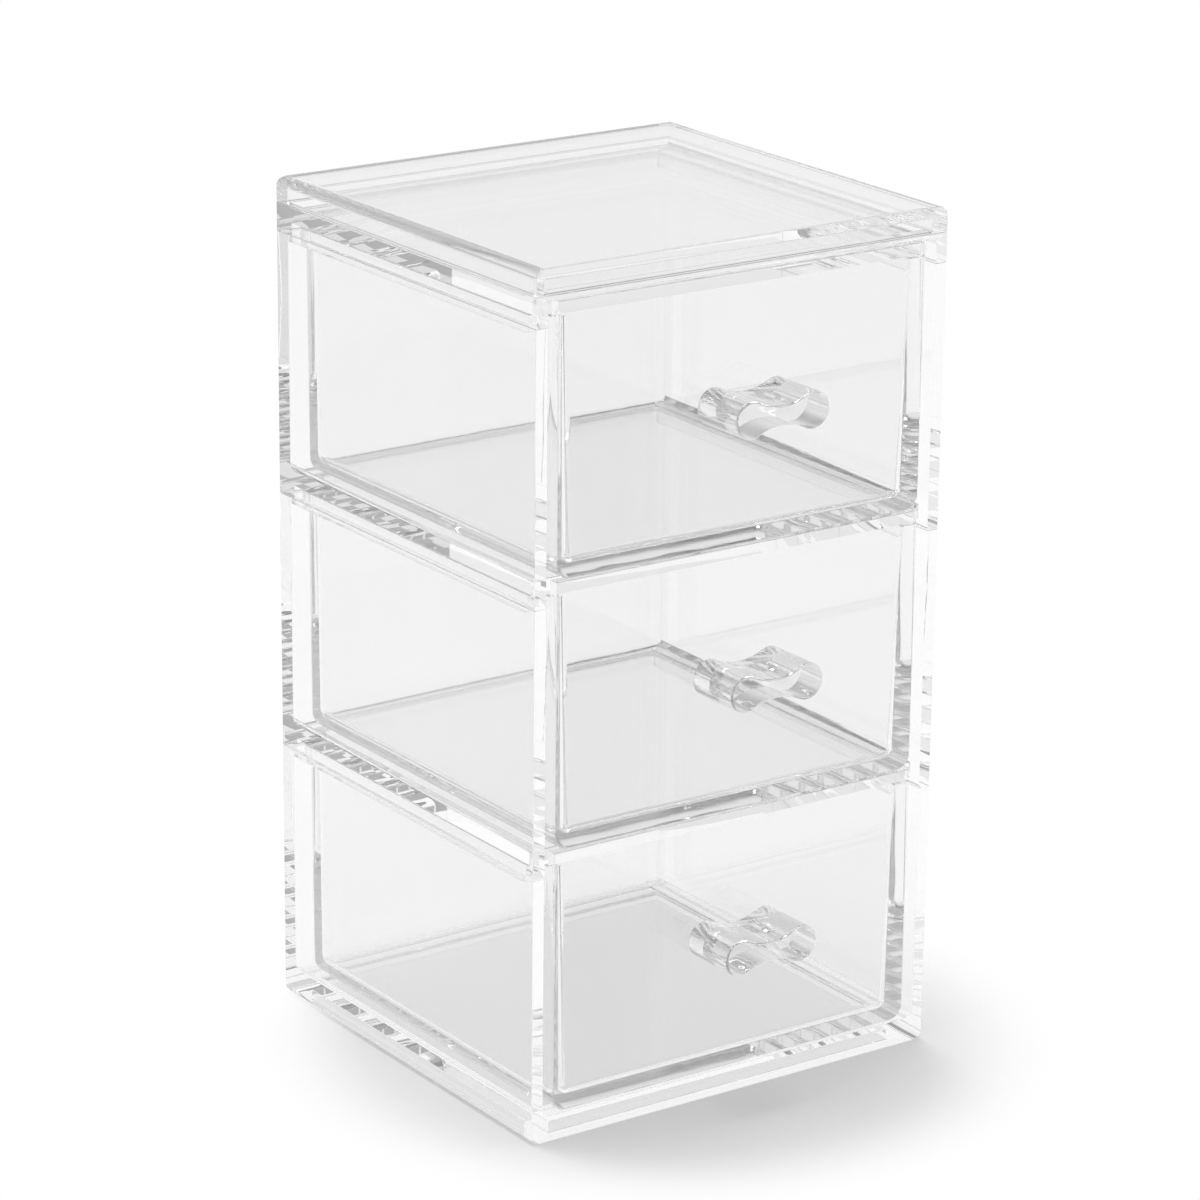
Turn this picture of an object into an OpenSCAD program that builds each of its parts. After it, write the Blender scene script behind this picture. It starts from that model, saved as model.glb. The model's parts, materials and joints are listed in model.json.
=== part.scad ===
// Three-drawer clear organizer tower for cosmetics and small goods.
// Stacked open-front housings, a closing frame, a lid, three sliding drawers and their pulls.
// Millimetres. +Z up, +X to the right of someone facing the drawers, drawers open toward -Y.
// Origin: centre of the housing footprint, on the surface the tower stands on.

/* [Housing] */
// Outer width of every housing, frame and lid
case_w = 120; // [100:1:160]
// Outer depth of every housing, frame and lid
case_d = 115; // [90:1:170]
// Height from one housing joint to the next
tier_pitch = 67.7; // [60:0.1:90]
// Thickness of the left and right walls
side_t = 3.3; // [2.5:0.1:4]
// Thickness of the back wall
back_t = 3; // [2.5:0.1:5]
// Thickness of the floor plate under each drawer
floor_t = 4; // [3:0.1:6]
// Height of the floor underside above the joint below it
floor_rise = 2; // [1:0.1:3]
// Inside radius where the walls meet the floor plate
inner_fillet_r = 2; // [1:0.1:2.5]
// Height of the lowest floor plate's top above the surface the tower stands on
base_h = 6.9; // [6:0.1:10]
// Width of the flat rim around the hollow underside
base_rim_w = 8; // [5:0.5:15]
// Radius of the lowest outer edges
base_edge_r = 2.5; // [1:0.1:3]

/* [Nesting skirts] */
// How far each skirt reaches below the joint, inside the housing under it
skirt_drop = 2.5; // [1:0.1:4]
// Thickness of each skirt measured across the width
skirt_t = 2.7; // [1.5:0.1:3]
// Play between a skirt and the wall it nests in
skirt_play = 0.2; // [0.1:0.05:0.4]
// Distance of the skirt front end behind the front edge
skirt_setback = 5; // [3:0.5:12]
// Radius of the lower front corner of each skirt
skirt_end_r = 2; // [0.5:0.1:2.5]

/* [Frame and lid] */
// Height of the closing frame above its joint
frame_h = 7.5; // [6.5:0.1:12]
// Thickness of the front rim of the frame and lid
front_rim_t = 3; // [2:0.1:5]
// Total height of the lid
lid_h = 6.5; // [5.5:0.1:12]
// Thickness of the lid plate
lid_plate_t = 3; // [2:0.1:4]
// Radius of the upper side and back edges of the lid
lid_edge_r = 2.5; // [1:0.1:3]

/* [Drawers] */
// Play between a drawer side and the skirt beside it
drawer_side_play = 0.3; // [0.3:0.05:1]
// Height of a drawer bottom above the floor plate
drawer_lift = 0.3; // [0.3:0.05:0.8]
// Play between a drawer rim and the plate above it
drawer_top_play = 0.5; // [0.4:0.05:1.5]
// Play between the top of a drawer front and the level of the plate top behind it
front_top_play = 0.3; // [0.2:0.05:1]
// Play between the back of a drawer front and the edge of the plate behind it
plate_edge_play = 0.5; // [0.4:0.05:1.5]
// Play between the drawer back and the back wall
drawer_back_play = 0.7; // [0.5:0.1:10]
// Recess of the drawer front behind the housing front edge
drawer_recess = 0.3; // [0:0.1:2]
// Thickness of the drawer front
front_t = 3; // [2.2:0.1:5]
// Thickness of the drawer sides and back
drawer_wall_t = 3; // [2:0.1:4]
// Thickness of the drawer bottom
drawer_floor_t = 2.4; // [1.8:0.1:4]
// Inside radius of the drawer corners and bottom edges
bowl_r = 4.5; // [2:0.1:8]
// Outside radius of the drawer back corners and bottom edges
shell_r = 3.5; // [2:0.1:5]

/* [Pulls] */
// Length of the pull across the drawer front
pull_w = 27.4; // [18:0.1:50]
// Height of each rounded end of the pull
pull_end_h = 9.3; // [7:0.1:16]
// Height of the pull at its waist
pull_waist_h = 5; // [3:0.1:6.5]
// How far the pull stands out of the drawer front
pull_out = 15.6; // [10:0.1:25]
// Height of the pull centre above the drawer bottom
pull_rise = 35.5; // [25:0.5:50]

/* [Hidden] */
$fn = 64;
eps = 0.01;

half_w = case_w / 2;
front_y = -case_d / 2;
back_y = case_d / 2;
wall_in_x = half_w - side_t;
back_in_y = back_y - back_t;

// Heights of the joints; the lowest one has no housing under it, so its walls reach the ground.
floor_top = floor_rise + floor_t;
joint_0 = base_h - floor_top;
joint_1 = joint_0 + tier_pitch;
joint_2 = joint_1 + tier_pitch;
joint_3 = joint_2 + tier_pitch;
frame_top = joint_3 + frame_h;

skirt_out_x = wall_in_x - skirt_play;
skirt_in_x = wall_in_x - skirt_play - skirt_t;

drawer_half_w = skirt_in_x - drawer_side_play;
drawer_front_y = front_y + drawer_recess;
drawer_back_y = back_in_y - drawer_back_play;
drawer_h = tier_pitch - floor_t - drawer_lift - drawer_top_play;
// A drawer front is taller than its sides: it hides the edge of the plate above it.
drawer_front_h = tier_pitch - drawer_lift - front_top_play;
plate_front_y = drawer_front_y + front_t + plate_edge_play;

pull_end_r = pull_end_h / 2;
pull_end_x = pull_w / 2 - pull_end_r;
// The arcs that hollow the waist run smoothly into the end circles.
waist_drop = (pull_end_h - pull_waist_h) / 2;
waist_arc_r = (pull_end_x * pull_end_x - waist_drop * (pull_end_r + pull_waist_h / 2))
  / (2 * waist_drop);
waist_arc_z = pull_waist_h / 2 + waist_arc_r;
web_x = pull_end_x * waist_arc_r / (waist_arc_r + pull_end_r);
web_z = waist_arc_z * pull_end_r / (waist_arc_r + pull_end_r);

case_color = [0.93, 0.95, 0.96, 0.35];
drawer_color = [0.90, 0.93, 0.95, 0.35];
pull_color = [0.95, 0.97, 0.98, 0.5];

module block(x0, x1, y0, y1, z0, z1) {
  translate([x0, y0, z0]) cube([x1 - x0, y1 - y0, z1 - z0]);
}

module rod_x(x0, x1, y, z, r) {
  translate([x0, y, z]) rotate([0, 90, 0]) cylinder(h = x1 - x0, r = r);
}

module rod_y(y0, y1, x, z, r) {
  translate([x, y1, z]) rotate([90, 0, 0]) cylinder(h = y1 - y0, r = r);
}

module rod_z(z0, z1, x, y, r) {
  translate([x, y, z0]) cylinder(h = z1 - z0, r = r);
}

// Open bowl shape: four rounded upright corners and rounded bottom edges, flat top.
module bowl(x0, x1, y0, y1, z0, z1, r) {
  block(x0 + r, x1 - r, y0 + r, y1 - r, z0, z1);
  block(x0, x1, y0 + r, y1 - r, z0 + r, z1);
  block(x0 + r, x1 - r, y0, y1, z0 + r, z1);
  for (y = [y0 + r, y1 - r]) rod_x(x0 + r, x1 - r, y, z0 + r, r);
  for (x = [x0 + r, x1 - r]) {
    rod_y(y0 + r, y1 - r, x, z0 + r, r);
    for (y = [y0 + r, y1 - r]) {
      rod_z(z0 + r, z1, x, y, r);
      translate([x, y, z0 + r]) sphere(r = r);
    }
  }
}

// Shell shape: like the bowl, but its front stays flat with square edges.
module shell(x0, x1, y0, y1, z0, z1, r) {
  block(x0 + r, x1 - r, y0, y1 - r, z0, z1);
  block(x0, x1, y0, y1 - r, z0 + r, z1);
  block(x0 + r, x1 - r, y0, y1, z0 + r, z1);
  rod_x(x0 + r, x1 - r, y1 - r, z0 + r, r);
  for (x = [x0 + r, x1 - r]) {
    rod_y(y0, y1 - r, x, z0 + r, r);
    rod_z(z0 + r, z1, x, y1 - r, r);
    translate([x, y1 - r, z0 + r]) sphere(r = r);
  }
}

// Space over a floor plate: rounded where the walls meet the plate, open to the front and top.
module room(z0, z1) {
  r = inner_fillet_r;
  block(-wall_in_x + r, wall_in_x - r, front_y - 1, back_in_y - r, z0, z1);
  block(-wall_in_x, wall_in_x, front_y - 1, back_in_y, z0 + r, z1);
  rod_x(-wall_in_x + r, wall_in_x - r, back_in_y - r, z0 + r, r);
  for (x = [-wall_in_x + r, wall_in_x - r]) {
    rod_y(front_y - 1, back_in_y - r, x, z0 + r, r);
    translate([x, back_in_y - r, z0 + r]) sphere(r = r);
  }
}

// Two strips that hang under a floor plate and nest inside the housing below.
module skirts(joint) {
  y0 = front_y + skirt_setback;
  z0 = joint - skirt_drop;
  z1 = joint + floor_rise + eps;
  r = skirt_end_r;
  for (s = [-1, 1]) {
    xa = s > 0 ? skirt_in_x : -skirt_out_x;
    xb = s > 0 ? skirt_out_x : -skirt_in_x;
    block(xa, xb, y0 + r, back_in_y - skirt_play, z0, z1);
    block(xa, xb, y0, back_in_y - skirt_play, z0 + r, z1);
    rod_x(xa, xb, y0 + r, z0 + r, r);
    block(s > 0 ? skirt_in_x : -wall_in_x, s > 0 ? wall_in_x : -skirt_in_x,
      y0, back_in_y, joint, z1);
  }
}

// Walls and floor plate between two joints. The space under the plate is open, and the
// plate stops behind the drawer front that covers its edge.
module housing(joint, top) {
  plate_z = joint + floor_rise;
  plate_top = joint + floor_top;
  difference() {
    block(-half_w, half_w, front_y, back_y, joint, top);
    room(plate_top, top + 1);
    block(-wall_in_x, wall_in_x, front_y - 1, back_in_y, joint - 1, plate_z);
    block(-wall_in_x, wall_in_x, front_y - 1, plate_front_y, joint - 1, plate_top + inner_fillet_r);
  }
  skirts(joint);
}

module lower_housing() {
  r = base_edge_r;
  color(case_color) difference() {
    intersection() {
      union() {
        block(-half_w, half_w, front_y, back_y, r, joint_1);
        block(-half_w + r, half_w - r, front_y, back_y, 0, joint_1);
        for (x = [-half_w + r, half_w - r]) rod_y(front_y, back_y, x, r, r);
      }
      union() {
        block(-half_w, half_w, front_y, back_y, r, joint_1);
        block(-half_w, half_w, front_y, back_y - r, 0, joint_1);
        rod_x(-half_w, half_w, back_y - r, r, r);
      }
    }
    room(base_h, joint_1 + 1);
    block(-half_w + base_rim_w, half_w - base_rim_w, front_y + base_rim_w, back_y - base_rim_w,
      -1, base_h - floor_t);
  }
}

module middle_housing() {
  color(case_color) housing(joint_1, joint_2);
}

module upper_housing() {
  color(case_color) housing(joint_2, joint_3);
}

module top_frame() {
  color(case_color) {
    housing(joint_3, frame_top);
    block(-wall_in_x - eps, wall_in_x + eps, front_y, plate_front_y + front_rim_t,
      joint_3 + floor_top - eps, frame_top);
  }
}

module lid() {
  r = lid_edge_r;
  z0 = frame_top;
  z1 = frame_top + lid_h;
  color(case_color) difference() {
    intersection() {
      union() {
        block(-half_w, half_w, front_y, back_y, z0, z1 - r);
        block(-half_w + r, half_w - r, front_y, back_y, z0, z1);
        for (x = [-half_w + r, half_w - r]) rod_y(front_y, back_y, x, z1 - r, r);
      }
      union() {
        block(-half_w, half_w, front_y, back_y, z0, z1 - r);
        block(-half_w, half_w, front_y, back_y - r, z0, z1);
        rod_x(-half_w, half_w, back_y - r, z1 - r, r);
      }
    }
    block(-wall_in_x, wall_in_x, front_y + front_rim_t, back_in_y, z0 - 1, z1 - lid_plate_t);
  }
}

// One drawer: flat front that stands above the sides, rounded shell, rounded bowl inside.
module drawer(joint) {
  z0 = joint + floor_top + drawer_lift;
  z1 = z0 + drawer_h;
  difference() {
    union() {
      block(-drawer_half_w, drawer_half_w, drawer_front_y, drawer_front_y + front_t,
        z0, z0 + drawer_front_h);
      shell(-drawer_half_w, drawer_half_w, drawer_front_y + front_t - eps, drawer_back_y,
        z0, z1, shell_r);
    }
    bowl(-drawer_half_w + drawer_wall_t, drawer_half_w - drawer_wall_t,
      drawer_front_y + front_t, drawer_back_y - drawer_wall_t,
      z0 + drawer_floor_t, z1 + 1, bowl_r);
  }
}

module lower_drawer() {
  color(drawer_color) drawer(joint_0);
}

module middle_drawer() {
  color(drawer_color) drawer(joint_1);
}

module upper_drawer() {
  color(drawer_color) drawer(joint_2);
}

// Dog-bone pull: two round ends joined by a web with hollowed top and bottom.
module pull(joint) {
  z = joint + floor_top + drawer_lift + pull_rise;
  translate([0, 0, z]) {
    for (x = [-pull_end_x, pull_end_x]) {
      rod_y(drawer_front_y - pull_out, drawer_front_y, x, 0, pull_end_r);
    }
    difference() {
      block(-web_x, web_x, drawer_front_y - pull_out, drawer_front_y, -web_z, web_z);
      for (s = [-1, 1]) {
        rod_y(drawer_front_y - pull_out - 1, drawer_front_y + 1, 0, s * waist_arc_z,
          waist_arc_r);
      }
    }
  }
}

module lower_pull() {
  color(pull_color) pull(joint_0);
}

module middle_pull() {
  color(pull_color) pull(joint_1);
}

module upper_pull() {
  color(pull_color) pull(joint_2);
}

lower_housing();
middle_housing();
upper_housing();
top_frame();
lid();
lower_drawer();
middle_drawer();
upper_drawer();
lower_pull();
middle_pull();
upper_pull();
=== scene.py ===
"""Clear three-drawer organizer tower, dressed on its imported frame.

Pieces are modelled in millimetres and end in metres, in the shared frame: +Z up,
drawers open toward -Y, origin under the middle of the lowest housing.
"""

import json
import math

import bmesh
import bpy
from mathutils import Euler, Matrix, Vector

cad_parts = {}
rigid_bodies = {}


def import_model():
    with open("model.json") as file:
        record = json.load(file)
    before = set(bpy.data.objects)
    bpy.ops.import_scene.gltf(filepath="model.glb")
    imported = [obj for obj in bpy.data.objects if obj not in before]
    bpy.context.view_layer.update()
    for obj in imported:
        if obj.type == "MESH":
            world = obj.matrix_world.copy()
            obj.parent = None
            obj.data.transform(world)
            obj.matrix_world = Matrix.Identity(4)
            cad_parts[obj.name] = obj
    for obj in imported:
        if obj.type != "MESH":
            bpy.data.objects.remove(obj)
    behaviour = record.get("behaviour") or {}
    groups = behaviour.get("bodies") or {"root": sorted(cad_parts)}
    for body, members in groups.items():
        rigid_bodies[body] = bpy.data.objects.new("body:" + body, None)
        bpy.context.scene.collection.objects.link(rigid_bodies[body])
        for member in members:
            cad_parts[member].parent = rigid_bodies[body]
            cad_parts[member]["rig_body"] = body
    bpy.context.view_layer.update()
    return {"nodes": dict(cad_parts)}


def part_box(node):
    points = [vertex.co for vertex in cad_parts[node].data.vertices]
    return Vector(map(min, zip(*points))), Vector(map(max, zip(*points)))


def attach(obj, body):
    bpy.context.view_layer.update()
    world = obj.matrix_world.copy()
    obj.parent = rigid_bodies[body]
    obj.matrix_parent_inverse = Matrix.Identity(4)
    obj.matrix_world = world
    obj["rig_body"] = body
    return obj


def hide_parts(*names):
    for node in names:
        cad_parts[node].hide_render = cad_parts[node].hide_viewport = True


bl_info = {
    "name": "Clear drawer tower",
    "version": (1, 0, 0),
    "blender": (4, 5, 0),
    "location": "View3D > Sidebar > Tower",
    "description": "Builds the visual model of a clear three-drawer organizer tower",
    "category": "Object",
}

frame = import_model()

METRE = 1000.0  # millimetres in a metre
NEAR = 0.01  # two places closer than this, in mm, are the same place
PAST = 10.0  # how far, in mm, a cutting block reaches past the body that it cuts
INTO = 1.0  # how far, in mm, a joined block reaches into its body
AROUND = 1.0  # how far, in mm, the corners of a skirt may lie from its faces

ACRYLIC_IOR = 1.49
SINK_MM = 12.0  # length of a sink mark along a rounded edge
WIPE_MM = 1.5  # distance between wiping marks
WIPED_ROUGHNESS = 0.02
CLOUD_MM = 60.0  # size of the uneven patches in the plastic
CLOUD_SHADE = 0.995  # how much light the densest patch lets through
FLAT_NORMAL = 0.999  # a normal with a coordinate above this lies square to a face
CURVED_NORMAL = 0.97  # below this the surface is fully curved

# Fitted to the photograph's corners and joint lines.
CAMERA_PLACE = (-0.64624, -0.92569, 0.48049)  # m
CAMERA_TURN = (71.954, -0.549, -34.685)  # degrees
CAMERA_LENS = 141.95  # mm, on a 36 mm sensor
SENSOR = 36.0  # mm
LIGHT_BOUNCES = 96

FLOOR_REACH = 6000.0  # mm from the middle
FLOOR_DEPTH = 20.0  # mm
NEAR_SHADE_END = -0.24  # m along Y: the floor's painted shade is darkest from here on toward the near side
NEAR_SHADE_START = -0.08  # m along Y
KEY_PLACE = (0.0, 0.3, 2.0)  # m
KEY_AIM = (0.0, 0.0, 0.1)  # m, the middle of the lower half of the object
SHADOW_MIDDLE = (0.005, -0.018, 0.0)  # m, under the front half of the object


def node_box(node):
    """Lowest and highest corner of a CAD node, in millimetres."""
    low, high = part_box(node)
    return Vector(low) * METRE, Vector(high) * METRE


# ---------------------------------------------------------------- settings


class TowerSizes(bpy.types.PropertyGroup):
    """Sizes that the CAD boxes don't give, in metres."""

    side_wall: bpy.props.FloatProperty(
        name="Side wall", description="Thickness of the left and right walls",
        default=0.0033, unit="LENGTH")
    back_wall: bpy.props.FloatProperty(
        name="Back wall", description="Thickness of the back wall",
        default=0.003, unit="LENGTH")
    plate_rise: bpy.props.FloatProperty(
        name="Plate rise", description="Height of a floor plate above the joint under it",
        default=0.002, unit="LENGTH")
    plate: bpy.props.FloatProperty(
        name="Floor plate", description="Thickness of the floor plate under each drawer",
        default=0.004, unit="LENGTH")
    room_fillet: bpy.props.FloatProperty(
        name="Room fillet", description="Inside radius where walls meet a floor plate",
        default=0.002, unit="LENGTH")
    skirt: bpy.props.FloatProperty(
        name="Skirt", description="Thickness of the nesting skirts across the width",
        default=0.0027, unit="LENGTH")
    skirt_play: bpy.props.FloatProperty(
        name="Skirt play", description="Gap between a skirt and the wall it nests in",
        default=0.0002, unit="LENGTH")
    skirt_setback: bpy.props.FloatProperty(
        name="Skirt setback", description="Distance of the skirts behind the front edge",
        default=0.005, unit="LENGTH")
    skirt_end: bpy.props.FloatProperty(
        name="Skirt end", description="Radius of the lower front corner of each skirt",
        default=0.002, unit="LENGTH")
    base_edge: bpy.props.FloatProperty(
        name="Base edge", description="Radius of the lowest outer edges",
        default=0.0025, unit="LENGTH")
    base_rim: bpy.props.FloatProperty(
        name="Base rim", description="Width of the flat rim around the hollow underside",
        default=0.008, unit="LENGTH")
    lid_edge: bpy.props.FloatProperty(
        name="Lid edge", description="Radius of the upper side and back edges of the lid",
        default=0.0025, unit="LENGTH")
    lid_plate: bpy.props.FloatProperty(
        name="Lid plate", description="Thickness of the lid plate",
        default=0.003, unit="LENGTH")
    front_rim: bpy.props.FloatProperty(
        name="Front rim", description="Thickness of the front rim of frame and lid",
        default=0.003, unit="LENGTH")
    drawer_wall: bpy.props.FloatProperty(
        name="Drawer wall", description="Thickness of drawer front, sides and back",
        default=0.003, unit="LENGTH")
    drawer_lift: bpy.props.FloatProperty(
        name="Drawer lift", description="Height of a drawer bottom above its floor plate",
        default=0.0003, unit="LENGTH")
    front_over: bpy.props.FloatProperty(
        name="Front over", description="How far a drawer front stands above the drawer sides",
        default=0.0042, unit="LENGTH")
    plate_play: bpy.props.FloatProperty(
        name="Plate play", description="Gap between a drawer front and the plate edge behind it",
        default=0.0005, unit="LENGTH")
    drawer_floor: bpy.props.FloatProperty(
        name="Drawer bottom", description="Thickness of the drawer bottom",
        default=0.0024, unit="LENGTH")
    bowl_radius: bpy.props.FloatProperty(
        name="Bowl radius", description="Inside radius of the drawer corners",
        default=0.0045, unit="LENGTH")
    shell_radius: bpy.props.FloatProperty(
        name="Shell radius", description="Outside radius of the drawer back and bottom edges",
        default=0.0035, unit="LENGTH")
    back_draft: bpy.props.FloatProperty(
        name="Back draft", description="How far the drawer back leans in toward its bottom",
        default=0.0012, unit="LENGTH")
    pull_waist: bpy.props.FloatProperty(
        name="Pull waist", description="Height of a pull at its waist",
        default=0.005, unit="LENGTH")
    pull_edge: bpy.props.FloatProperty(
        name="Pull edge", description="Radius of the outer edges of a pull",
        default=0.0005, unit="LENGTH")
    edge_break: bpy.props.FloatProperty(
        name="Edge break", description="Radius of the polished small edges",
        default=0.00025, unit="LENGTH")
    joint_gap: bpy.props.FloatProperty(
        name="Joint gap", description="Air gap left between pieces that only touch",
        default=0.00005, unit="LENGTH")


class TowerLooks(bpy.types.PropertyGroup):
    """Colours and studio levels."""

    plastic: bpy.props.StringProperty(
        name="Clear plastic", description="Tint of the clear plastic, sRGB hex",
        default="FCFCFC")
    floor: bpy.props.StringProperty(
        name="Floor", description="Colour of the studio floor, sRGB hex",
        default="FFFFFF")
    plain_white: bpy.props.FloatProperty(
        name="Plain white", description="Share of the floor that shows as plain white",
        default=0.4, subtype="FACTOR")
    white_through: bpy.props.FloatProperty(
        name="White through", description="The same share where the floor shows through plastic",
        default=0.72, subtype="FACTOR")
    shadow_start: bpy.props.FloatProperty(
        name="Shadow start",
        description="Distance from the shadow's middle where it starts to fade",
        default=0.07, unit="LENGTH")
    shadow_end: bpy.props.FloatProperty(
        name="Shadow end", description="Distance from the shadow's middle to plain white floor",
        default=0.105, unit="LENGTH")
    # Painted shade: the near floor's colour is darkened where the plastic shows it.
    near_floor_shade: bpy.props.FloatProperty(
        name="Near floor", description="Brightness of the near floor where the plastic shows it",
        default=0.75, subtype="FACTOR")
    key_power: bpy.props.FloatProperty(
        name="Key lamp", description="Power of the big soft lamp",
        default=31.0, unit="POWER")
    key_size: bpy.props.FloatProperty(
        name="Key size", description="Width of the big soft lamp",
        default=0.9, unit="LENGTH")
    room_low: bpy.props.FloatProperty(
        name="Room low down", description="Brightness of the room near the horizon",
        default=0.88, subtype="FACTOR")
    room_high: bpy.props.FloatProperty(
        name="Room overhead", description="Brightness of the room straight above",
        default=0.25, subtype="FACTOR")
    room_near: bpy.props.FloatProperty(
        name="Room near side", description="Share of the room's light left on the near side",
        default=0.45, subtype="FACTOR")


def sizes():
    return bpy.context.scene.tower_sizes


def looks():
    return bpy.context.scene.tower_looks


def size(name):
    """A named size in millimetres."""
    return getattr(sizes(), name) * METRE


# ---------------------------------------------------------------- colour and nodes


def linear(hex_colour):
    """sRGB hex to a linear RGBA colour."""
    out = []
    for i in (0, 2, 4):
        c = int(hex_colour[i:i + 2], 16) / 255
        out.append(c / 12.92 if c <= 0.04045 else ((c + 0.055) / 1.055) ** 2.4)
    return (*out, 1.0)


def add_node(tree, kind, settings=None, **sockets):
    """Adds a node, sets its properties, and sets or links its inputs by name or number, as n0."""
    node = tree.nodes.new(kind)
    for key, value in (settings or {}).items():
        setattr(node, key, value)
    for key, value in sockets.items():
        name = key.replace("_", " ")
        numbered = key[0] == "n" and key[1:].isdigit()
        slot = node.inputs[int(key[1:]) if numbered else name]
        if isinstance(value, bpy.types.NodeSocket):
            tree.links.new(value, slot)
        else:
            slot.default_value = value
    return node


def clear_plastic(name, wave_mm, wave_depth_mm, ripple_mm):
    """Crystal-clear injection-moulded plastic, mirror polished by its mould.

    Gives glassy edges, a bright see-through face with slight flow waves, a ripple
    along every rounded edge and the finest wiping marks.
    """
    mat = bpy.data.materials.new(name)
    mat.use_nodes = True
    tree = mat.node_tree
    tree.nodes.clear()
    place = add_node(tree, "ShaderNodeTexCoord").outputs["Object"]
    # Flow waves of the moulded face.
    waves = add_node(tree, "ShaderNodeTexNoise", Vector=place, Scale=METRE / wave_mm,
                     Detail=1.0, Roughness=0.4)
    flow = add_node(tree, "ShaderNodeBump", Strength=1.0, Distance=wave_depth_mm / METRE,
                    Height=waves.outputs["Fac"])
    # Sink marks ripple the rounded edges, where the normal is square to no face.
    facing = add_node(tree, "ShaderNodeNewGeometry").outputs["True Normal"]
    facing = add_node(tree, "ShaderNodeVectorMath", {"operation": "ABSOLUTE"}, n0=facing)
    axes = add_node(tree, "ShaderNodeSeparateXYZ", n0=facing.outputs[0]).outputs
    most = add_node(tree, "ShaderNodeMath", {"operation": "MAXIMUM"}, n0=axes["X"], n1=axes["Y"])
    most = add_node(tree, "ShaderNodeMath", {"operation": "MAXIMUM"}, n0=most.outputs[0],
                    n1=axes["Z"])
    curved = add_node(tree, "ShaderNodeMapRange", n0=most.outputs[0], n1=FLAT_NORMAL,
                      n2=CURVED_NORMAL)
    sinks = add_node(tree, "ShaderNodeTexNoise", Vector=place, Scale=METRE / SINK_MM, Detail=1.0,
                     Roughness=0.5, Distortion=0.3)
    ripple = add_node(tree, "ShaderNodeBump", Distance=ripple_mm / METRE,
                      Strength=curved.outputs[0], Height=sinks.outputs["Fac"],
                      Normal=flow.outputs[0])
    # Wiping marks run up and down; in real life they are far finer than a pixel.
    stretched = add_node(tree, "ShaderNodeMapping", Vector=place, Scale=(1.0, 1.0, 0.06))
    wiped = add_node(tree, "ShaderNodeTexNoise", Vector=stretched.outputs[0], Scale=METRE / WIPE_MM,
                     Detail=2.0, Roughness=0.6)
    haze = add_node(tree, "ShaderNodeMapRange", n0=wiped.outputs["Fac"], n1=0.45, n2=0.9,
                    n3=0.0, n4=WIPED_ROUGHNESS)
    # A trace of uneven density in the plastic.
    clouds = add_node(tree, "ShaderNodeTexNoise", Vector=place, Scale=METRE / CLOUD_MM, Detail=1.0)
    tint = linear(looks().plastic)
    deeper = tuple(c * CLOUD_SHADE for c in tint[:3]) + (1.0,)
    colour = add_node(tree, "ShaderNodeMix", {"data_type": "RGBA"},
                      n0=clouds.outputs["Fac"], n6=tint, n7=deeper)
    shader = add_node(tree, "ShaderNodeBsdfPrincipled", Base_Color=colour.outputs[2],
                      Roughness=haze.outputs[0], Normal=ripple.outputs[0])
    shader.inputs["IOR"].default_value = ACRYLIC_IOR
    shader.inputs["Transmission Weight"].default_value = 1.0
    out = add_node(tree, "ShaderNodeOutputMaterial")
    tree.links.new(shader.outputs[0], out.inputs[0])
    return mat


# ---------------------------------------------------------------- modelling, in millimetres


def block_object(name, low, high):
    """A plain block as an object, used as a body or as a tool."""
    bm = bmesh.new()
    bmesh.ops.create_cube(bm, size=1.0)
    low, high = Vector(low), Vector(high)
    bmesh.ops.scale(bm, vec=high - low, verts=bm.verts)
    bmesh.ops.translate(bm, vec=(high + low) / 2, verts=bm.verts)
    mesh = bpy.data.meshes.new(name)
    bm.to_mesh(mesh)
    bm.free()
    obj = bpy.data.objects.new(name, mesh)
    bpy.context.scene.collection.objects.link(obj)
    return obj


def carved(low, high, steps):
    """A bmesh of a block after joining or cutting further blocks: (operation, low, high)."""
    body = block_object("body", low, high)
    tools = []
    for operation, a, b in steps:
        tool = block_object("tool", a, b)
        tools.append(tool)
        cut = body.modifiers.new("carve", "BOOLEAN")
        cut.operation = operation
        cut.object = tool
        cut.solver = "EXACT"
    bpy.context.view_layer.update()
    graph = bpy.context.evaluated_depsgraph_get()
    mesh = bpy.data.meshes.new_from_object(body.evaluated_get(graph))
    bm = bmesh.new()
    bm.from_mesh(mesh)
    bpy.data.meshes.remove(mesh)
    for obj in tools + [body]:
        old = obj.data
        bpy.data.objects.remove(obj)
        bpy.data.meshes.remove(old)
    bmesh.ops.remove_doubles(bm, verts=bm.verts, dist=NEAR)
    bmesh.ops.dissolve_limit(bm, angle_limit=math.radians(0.5), verts=bm.verts, edges=bm.edges)
    return bm


def edges_at(bm, x=None, y=None, z=None):
    """Edges whose ends both lie at the given places; x is taken on the left and on the right."""
    def there(v):
        return ((x is None or abs(abs(v.co.x) - x) < NEAR)
                and (y is None or abs(v.co.y - y) < NEAR)
                and (z is None or abs(v.co.z - z) < NEAR))
    def one_side(e):
        return x is None or e.verts[0].co.x * e.verts[1].co.x > 0
    return [e for e in bm.edges if there(e.verts[0]) and there(e.verts[1]) and one_side(e)]


def round_edges(bm, edges, radius, segments, clamp=True):
    """Rounds these edges."""
    edges = list(dict.fromkeys(edges))
    if not edges:
        raise RuntimeError("no edge to round")
    bmesh.ops.bevel(bm, geom=edges, affect="EDGES", offset=radius, offset_type="OFFSET",
                    segments=segments, profile=0.5, material=-1, clamp_overlap=clamp,
                    loop_slide=True)


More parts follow.
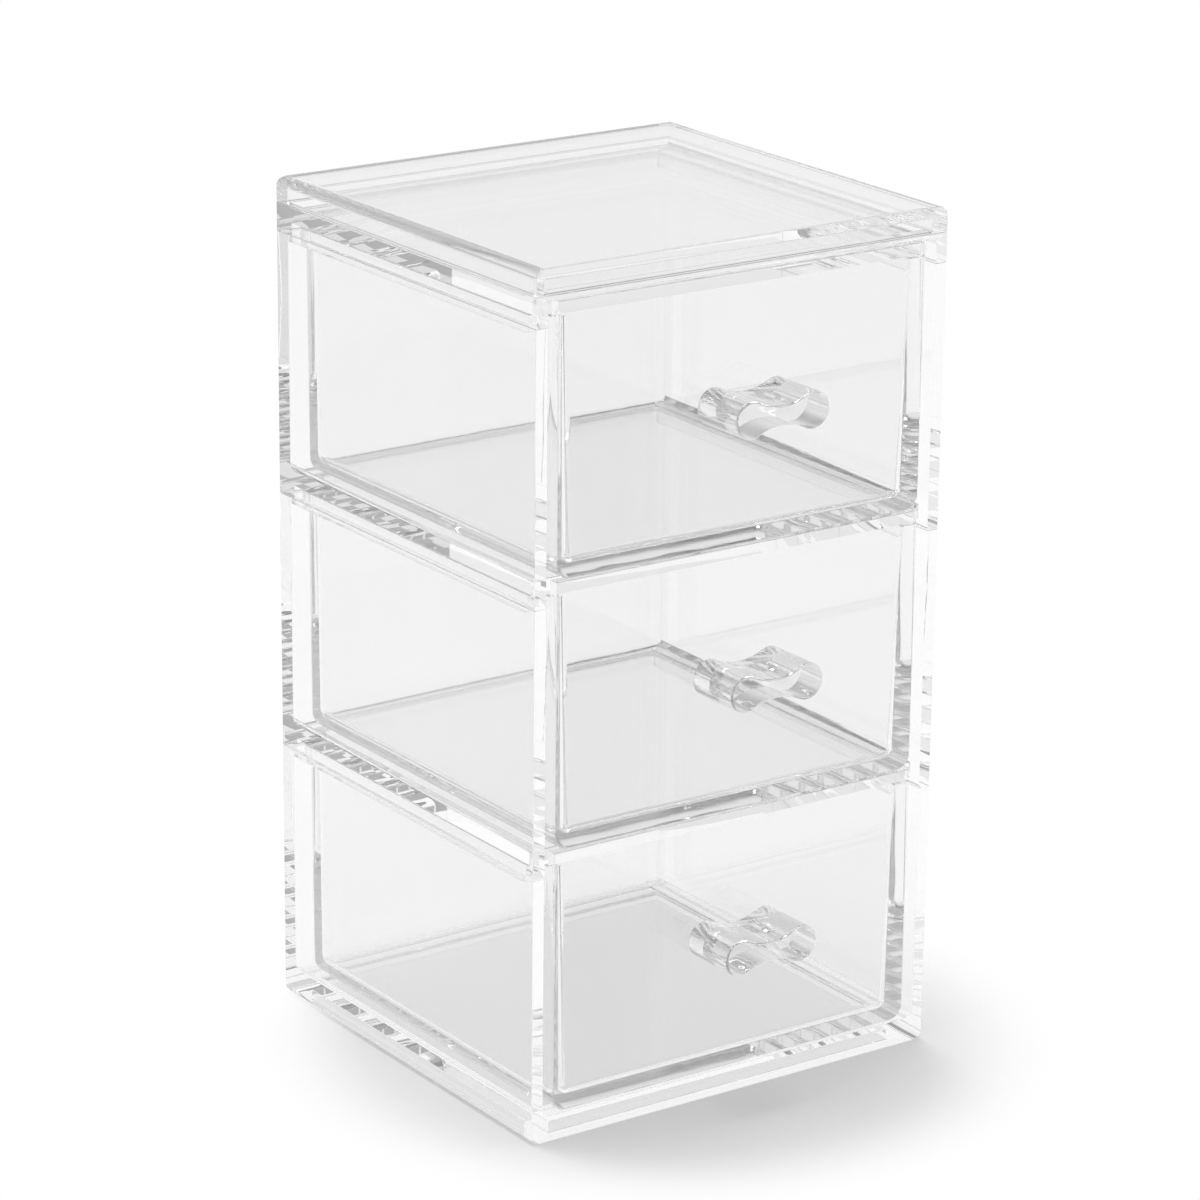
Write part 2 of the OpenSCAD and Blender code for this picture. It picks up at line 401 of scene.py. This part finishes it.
def break_edges(bm, radius, segments=2, sharper_than=32, spare=None):
    """Rounds every edge that is still sharp by a hair, except where spare(vertex) is true."""
    bm.normal_update()
    sharp = [e for e in bm.edges if len(e.link_faces) == 2
             and e.calc_face_angle(0.0) > math.radians(sharper_than)
             and not (spare and any(spare(v) for v in e.verts))]
    round_edges(bm, sharp, radius, segments, clamp=False)


def finish_piece(bm, name, material, *nodes):
    """Turns a bmesh in millimetres into a piece that stands for these CAD nodes."""
    bmesh.ops.remove_doubles(bm, verts=bm.verts, dist=0.001)
    bmesh.ops.triangulate(bm, faces=[f for f in bm.faces if len(f.verts) > 4])
    bmesh.ops.recalc_face_normals(bm, faces=bm.faces)
    for e in bm.edges:
        e.smooth = e.calc_face_angle(0.0) < math.radians(35)
    bmesh.ops.scale(bm, vec=(1 / METRE,) * 3, verts=bm.verts)
    for f in bm.faces:
        f.smooth = True
    mesh = bpy.data.meshes.new(name)
    bm.to_mesh(mesh)
    bm.free()
    mesh.materials.append(material)
    obj = bpy.data.objects.new(name, mesh)
    bpy.context.scene.collection.objects.link(obj)
    even = obj.modifiers.new("flat faces stay flat", "WEIGHTED_NORMAL")
    even.mode = "FACE_AREA"
    even.weight = 100
    even.keep_sharp = True
    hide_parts(*nodes)
    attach(obj, frame["nodes"][nodes[0]]["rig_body"])
    return obj


def housing_mesh(node, has_top_gap, front_rim=0.0):
    """Walls, floor plate and skirts of a stacked tier."""
    low, high = node_box(node)
    joint = low.z + size_skirt_drop()
    top = high.z - (size("joint_gap") if has_top_gap else 0.0)
    wall_x = high.x - size("side_wall")
    back = high.y - size("back_wall")
    plate_low = joint + size("plate_rise")
    plate_top = plate_low + size("plate")
    out_x = wall_x - size("skirt_play")
    in_x = out_x - size("skirt")
    skirt_y = low.y + size("skirt_setback")
    # The plate stops behind the drawer front that covers its edge.
    plate_front = node_box("upper_drawer")[0].y + size("drawer_wall") + size("plate_play")
    room_front = plate_front + front_rim if front_rim else low.y - PAST
    slot_top = plate_top if front_rim else plate_top + INTO
    steps = [
        ("DIFFERENCE", (-wall_x, room_front, plate_top), (wall_x, back, top + PAST)),
        ("DIFFERENCE", (-wall_x, low.y - PAST, joint - PAST), (wall_x, back, plate_low)),
        ("DIFFERENCE", (-wall_x, low.y - PAST, joint - PAST), (wall_x, plate_front, slot_top)),
    ]
    for side in (-1, 1):
        a, b = sorted((side * in_x, side * wall_x))
        steps.append(("UNION", (a, skirt_y, joint), (b, back + INTO, plate_low + INTO)))
        a, b = sorted((side * in_x, side * out_x))
        steps.append(("UNION", (a, skirt_y, low.z),
                      (b, back - size("skirt_play"), plate_low + INTO)))
    bm = carved((low.x, low.y, joint), (high.x, high.y, top), steps)
    fillets = edges_at(bm, x=wall_x, z=plate_top) + edges_at(bm, y=back, z=plate_top)
    if front_rim:
        fillets += edges_at(bm, y=room_front, z=plate_top)
    round_edges(bm, fillets, size("room_fillet"), 10)
    ends = [e for e in edges_at(bm, y=skirt_y, z=low.z) if abs(e.verts[0].co.x) > in_x - AROUND]
    round_edges(bm, ends, size("skirt_end"), 8)

    def near_skirt(v):
        return (in_x - AROUND < abs(v.co.x) < high.x - AROUND
                and v.co.z < plate_low + AROUND)

    break_edges(bm, size("edge_break"), spare=near_skirt)
    return bm


def size_skirt_drop():
    """How far a skirt reaches below its joint: the CAD boxes of two tiers overlap by it."""
    lower_top = node_box("lower_housing")[1].z
    return lower_top - node_box("middle_housing")[0].z


# ---------------------------------------------------------------- operators


class TOWER_OT_housings(bpy.types.Operator):
    """Builds the three stacked housings and the closing frame"""

    bl_idname = "tower.housings"
    bl_label = "Build housings"

    def execute(self, context):
        plastic = clear_plastic("clear moulded acrylic, housings", wave_mm=22.0,
                                wave_depth_mm=0.02, ripple_mm=0.06)
        low, high = node_box("lower_housing")
        wall_x = high.x - size("side_wall")
        back = high.y - size("back_wall")
        plate = node_box("lower_drawer")[0].z - size("drawer_lift")
        rim = Vector((size("base_rim"), size("base_rim"), 0))
        under = Vector((high.x, high.y, plate - size("plate"))) - rim
        bm = carved(low, (high.x, high.y, high.z - size("joint_gap")),
                    [("DIFFERENCE", (-wall_x, low.y - PAST, plate), (wall_x, back, high.z + PAST)),
                     ("DIFFERENCE", low + rim - Vector((0, 0, PAST)), under)])
        round_edges(bm, edges_at(bm, x=wall_x, z=plate) + edges_at(bm, y=back, z=plate),
                    size("room_fillet"), 10)
        round_edges(bm, edges_at(bm, x=high.x, z=low.z) + edges_at(bm, y=high.y, z=low.z),
                    size("base_edge"), 12)
        break_edges(bm, size("edge_break"))
        finish_piece(bm, "lower_housing_clear", plastic, "lower_housing")
        for node in ("middle_housing", "upper_housing"):
            bm = housing_mesh(node, True)
            finish_piece(bm, node + "_clear", plastic, node)
        bm = housing_mesh("top_frame", True, size("front_rim"))
        finish_piece(bm, "top_frame_clear", plastic, "top_frame")
        return {"FINISHED"}


class TOWER_OT_lid(bpy.types.Operator):
    """Builds the flat lid with its rounded upper edges"""

    bl_idname = "tower.lid"
    bl_label = "Build lid"

    def execute(self, context):
        plastic = clear_plastic("clear moulded acrylic, lid", wave_mm=22.0,
                                wave_depth_mm=0.02, ripple_mm=0.12)
        low, high = node_box("lid")
        wall_x = high.x - size("side_wall")
        back = high.y - size("back_wall")
        under = high.z - size("lid_plate")
        bm = carved(low, high, [("DIFFERENCE", (-wall_x, low.y + size("front_rim"), low.z - PAST),
                                 (wall_x, back, under))])
        edges = edges_at(bm, x=high.x, z=high.z) + edges_at(bm, y=high.y, z=high.z)
        round_edges(bm, edges, size("lid_edge"), 12)
        break_edges(bm, size("edge_break"))
        finish_piece(bm, "lid_clear", plastic, "lid")
        return {"FINISHED"}


class TOWER_OT_drawers(bpy.types.Operator):
    """Builds the three moulded drawers"""

    bl_idname = "tower.drawers"
    bl_label = "Build drawers"

    def execute(self, context):
        plastic = clear_plastic("clear moulded acrylic, drawers", wave_mm=18.0,
                                wave_depth_mm=0.025, ripple_mm=0.1)
        for node in ("lower_drawer", "middle_drawer", "upper_drawer"):
            low, high = node_box(node)
            wall = size("drawer_wall")
            floor = low.z + size("drawer_floor")
            inner = high.x - wall
            front, back = low.y + wall, high.y - wall
            rim = high.z - size("front_over")
            bm = carved(low, high, [
                ("DIFFERENCE", (low.x - PAST, front, rim),
                 (high.x + PAST, high.y + PAST, high.z + PAST)),
                ("DIFFERENCE", (-inner, front, floor), (inner, back, high.z + PAST)),
            ])
            bowl = (edges_at(bm, x=inner, y=front) + edges_at(bm, x=inner, y=back)
                    + edges_at(bm, x=inner, z=floor) + edges_at(bm, y=front, z=floor)
                    + edges_at(bm, y=back, z=floor))
            shell = (edges_at(bm, x=high.x, y=high.y) + edges_at(bm, x=high.x, z=low.z)
                     + edges_at(bm, y=high.y, z=low.z))
            # The back leans in toward the bottom, so that the drawer leaves its mould.
            for v in [v for v in bm.verts if v.co.y > back - NEAR]:
                v.co.y -= size("back_draft") * (high.z - v.co.z) / (high.z - low.z)
            round_edges(bm, bowl, size("bowl_radius"), 14)
            shell = [e for e in shell if e.is_valid]
            round_edges(bm, shell, size("shell_radius"), 12)
            break_edges(bm, size("edge_break"))
            finish_piece(bm, node + "_clear", plastic, node)
        return {"FINISHED"}


class TOWER_OT_pulls(bpy.types.Operator):
    """Builds the three dog-bone pulls"""

    bl_idname = "tower.pulls"
    bl_label = "Build pulls"

    def execute(self, context):
        plastic = clear_plastic("clear cast acrylic, pulls", wave_mm=9.0,
                                wave_depth_mm=0.03, ripple_mm=0.03)
        for node in ("lower_pull", "middle_pull", "upper_pull"):
            low, high = node_box(node)
            middle = (low + high) / 2
            end_r = (high.z - low.z) / 2
            end_x = high.x - end_r
            drop = end_r - size("pull_waist") / 2
            arc_r = (end_x ** 2 - drop * (end_r + size("pull_waist") / 2)) / (2 * drop)
            arc_z = size("pull_waist") / 2 + arc_r
            turn = math.atan2(arc_z, end_x)
            bm = bmesh.new()
            # A quarter outline: the end circle from its tip up, then half of the waist arc.
            tip = bm.verts.new((end_x + end_r, 0, 0))
            bmesh.ops.spin(bm, geom=[tip], cent=(end_x, 0, 0), axis=(0, -1, 0),
                           angle=math.pi - turn, steps=20, use_merge=False)
            bm.verts.ensure_lookup_table()
            last = bm.verts[-1]
            bmesh.ops.spin(bm, geom=[last], cent=(0, 0, arc_z), axis=(0, 1, 0),
                           angle=math.pi / 2 - turn, steps=12, use_merge=False)
            for axis in (Vector((1, 0, 0)), Vector((0, 0, 1))):
                flip = Matrix.Scale(-1, 4, axis)
                copy = bmesh.ops.duplicate(bm, geom=bm.verts[:] + bm.edges[:])
                verts = [g for g in copy["geom"] if isinstance(g, bmesh.types.BMVert)]
                bmesh.ops.transform(bm, matrix=flip, verts=verts)
            bmesh.ops.remove_doubles(bm, verts=bm.verts, dist=NEAR)
            face = bmesh.ops.contextual_create(bm, geom=bm.edges[:])["faces"]
            # The foot reaches a hair into the drawer front, as a glued joint does.
            foot = high.y + size("joint_gap")
            bmesh.ops.translate(bm, vec=(middle.x, foot, middle.z), verts=bm.verts)
            out = bmesh.ops.extrude_face_region(bm, geom=face)
            moved = [g for g in out["geom"] if isinstance(g, bmesh.types.BMVert)]
            bmesh.ops.translate(bm, vec=(0, low.y - foot, 0), verts=moved)
            bmesh.ops.recalc_face_normals(bm, faces=bm.faces)
            tip_edges = [e for e in bm.edges if all(abs(v.co.y - low.y) < NEAR for v in e.verts)]
            round_edges(bm, tip_edges, size("pull_edge"), 4)
            finish_piece(bm, node + "_clear", plastic, node)
        return {"FINISHED"}


class TOWER_OT_stage(bpy.types.Operator):
    """Sets up the floor, room light, soft lamp and camera"""

    bl_idname = "tower.stage"
    bl_label = "Build stage"

    def execute(self, context):
        scene = context.scene
        self.floor()
        self.room(scene)
        self.lamp(scene)
        self.camera(scene)
        scene.view_settings.view_transform = "Standard"
        # Light crosses a dozen clear walls, so its paths are let run long.
        for kind in ("max_bounces", "glossy_bounces", "transmission_bounces"):
            setattr(scene.cycles, kind, LIGHT_BOUNCES)
        return {"FINISHED"}

    def floor(self):
        """A white floor that keeps the object's shadow close around it."""
        floor = block_object("studio_floor", (-FLOOR_REACH, -FLOOR_REACH, -FLOOR_DEPTH),
                             (FLOOR_REACH, FLOOR_REACH, 0))
        floor.data.transform(Matrix.Scale(1 / METRE, 4))
        mat = bpy.data.materials.new("white studio sweep, matt paint")
        mat.use_nodes = True
        tree = mat.node_tree
        tree.nodes.clear()
        rays = add_node(tree, "ShaderNodeLightPath").outputs
        # Part of the floor shows as plain white, and the rest of it keeps the shadow. The clear
        # plastic lets more light through than a traced shadow does, so more shows through it.
        through = add_node(tree, "ShaderNodeMath", {"operation": "MAXIMUM"},
                           n0=rays["Is Glossy Ray"], n1=rays["Is Transmission Ray"])
        through = add_node(tree, "ShaderNodeMath", {"operation": "MULTIPLY"},
                           n0=through.outputs[0], n1=looks().white_through)
        place = add_node(tree, "ShaderNodeTexCoord").outputs["Object"]
        away = add_node(tree, "ShaderNodeVectorMath", {"operation": "DISTANCE"},
                        n0=place, n1=SHADOW_MIDDLE)
        plain = add_node(tree, "ShaderNodeMapRange", {"interpolation_type": "SMOOTHSTEP"},
                         n0=away.outputs["Value"], n1=looks().shadow_start,
                         n2=looks().shadow_end, n3=looks().plain_white, n4=1.0)
        share = add_node(tree, "ShaderNodeMath", {"operation": "MULTIPLY_ADD"},
                         n0=rays["Is Camera Ray"], n1=plain.outputs[0], n2=through.outputs[0])
        # Painted shade: seen in or through the plastic, the floor's colour is a little darker on
        # the near side, standing in for the darker near side of the room; straight to the camera it
        # keeps its full colour.
        depth = add_node(tree, "ShaderNodeSeparateXYZ", n0=place).outputs["Y"]
        painted_near_shade = add_node(tree, "ShaderNodeMapRange", {"interpolation_type": "SMOOTHSTEP"},
                         n0=depth, n1=NEAR_SHADE_END, n2=NEAR_SHADE_START,
                         n3=looks().near_floor_shade, n4=1.0)
        painted_near_shade = add_node(tree, "ShaderNodeMath", {"operation": "MAXIMUM"},
                         n0=painted_near_shade.outputs[0], n1=rays["Is Camera Ray"])
        colour = add_node(tree, "ShaderNodeMix", {"data_type": "RGBA"}, n0=painted_near_shade.outputs[0],
                          n6=(0.0, 0.0, 0.0, 1.0), n7=linear(looks().floor)).outputs[2]
        paint = add_node(tree, "ShaderNodeBsdfDiffuse", Color=colour)
        white = add_node(tree, "ShaderNodeEmission", Color=colour, Strength=1.0)
        mix = add_node(tree, "ShaderNodeMixShader", n0=share.outputs[0],
                       n1=paint.outputs[0], n2=white.outputs[0])
        out = add_node(tree, "ShaderNodeOutputMaterial")
        tree.links.new(mix.outputs[0], out.inputs[0])
        floor.data.materials.append(mat)

    def room(self, scene):
        """Even room light: bright low down and behind, darker overhead and on the near side."""
        world = bpy.data.worlds.new("soft studio room")
        scene.world = world
        world.use_nodes = True
        tree = world.node_tree
        tree.nodes.clear()
        toward = add_node(tree, "ShaderNodeTexCoord").outputs["Generated"]
        parts = add_node(tree, "ShaderNodeSeparateXYZ", n0=toward).outputs
        high = add_node(tree, "ShaderNodeMapRange", {"interpolation_type": "SMOOTHSTEP"},
                        n0=parts["Z"], n1=0.3, n2=0.8, n3=looks().room_low, n4=looks().room_high)
        near = add_node(tree, "ShaderNodeMapRange", {"interpolation_type": "SMOOTHSTEP"},
                        n0=parts["Y"], n1=-0.9, n2=0.1, n3=looks().room_near, n4=1.0)
        both = add_node(tree, "ShaderNodeMath", {"operation": "MULTIPLY"},
                        n0=high.outputs[0], n1=near.outputs[0])
        rays = add_node(tree, "ShaderNodeLightPath").outputs
        level = add_node(tree, "ShaderNodeMix", {"data_type": "FLOAT"},
                         n0=rays["Is Camera Ray"], n2=both.outputs[0], n3=1.0)
        back = add_node(tree, "ShaderNodeBackground", Color=(1, 1, 1, 1), Strength=level.outputs[0])
        out = add_node(tree, "ShaderNodeOutputWorld")
        tree.links.new(back.outputs[0], out.inputs[0])

    def lamp(self, scene):
        """One big soft lamp, overhead and a little behind the object."""
        lamp = bpy.data.lights.new("key_softbox", "AREA")
        lamp.shape = "SQUARE"
        lamp.size = looks().key_size
        lamp.energy = looks().key_power
        obj = bpy.data.objects.new("key_softbox", lamp)
        scene.collection.objects.link(obj)
        obj.location = KEY_PLACE
        aim = Vector(KEY_AIM) - Vector(KEY_PLACE)
        obj.rotation_euler = aim.to_track_quat("-Z", "Y").to_euler()

    def camera(self, scene):
        """The camera at the photograph's angle."""
        lens = bpy.data.cameras.new("camera")
        lens.lens = CAMERA_LENS
        lens.sensor_width = SENSOR
        lens.clip_start, lens.clip_end = 0.05, 50.0
        cam = bpy.data.objects.new("camera", lens)
        scene.collection.objects.link(cam)
        cam.location = CAMERA_PLACE
        cam.rotation_euler = Euler([math.radians(a) for a in CAMERA_TURN])
        scene.camera = cam


class TOWER_PT_panel(bpy.types.Panel):
    """Shows the tower's sizes, looks and build buttons in the 3D view's sidebar"""

    bl_idname = "TOWER_PT_panel"
    bl_label = "Drawer tower"
    bl_space_type = "VIEW_3D"
    bl_region_type = "UI"
    bl_category = "Tower"

    def draw(self, context):
        for group in (context.scene.tower_sizes, context.scene.tower_looks):
            for key in group.__annotations__:
                self.layout.prop(group, key)
        for operator in OPERATORS:
            self.layout.operator(operator.bl_idname)


OPERATORS = (TOWER_OT_housings, TOWER_OT_lid, TOWER_OT_drawers, TOWER_OT_pulls, TOWER_OT_stage)
CLASSES = (TowerSizes, TowerLooks, *OPERATORS, TOWER_PT_panel)


def register():
    for cls in CLASSES:
        bpy.utils.register_class(cls)
    bpy.types.Scene.tower_sizes = bpy.props.PointerProperty(type=TowerSizes)
    bpy.types.Scene.tower_looks = bpy.props.PointerProperty(type=TowerLooks)


def unregister():
    del bpy.types.Scene.tower_looks
    del bpy.types.Scene.tower_sizes
    for cls in reversed(CLASSES):
        bpy.utils.unregister_class(cls)


def main():
    register()
    bpy.ops.tower.housings()
    bpy.ops.tower.lid()
    bpy.ops.tower.drawers()
    bpy.ops.tower.pulls()
    bpy.ops.tower.stage()


if __name__ == "__main__":
    main()
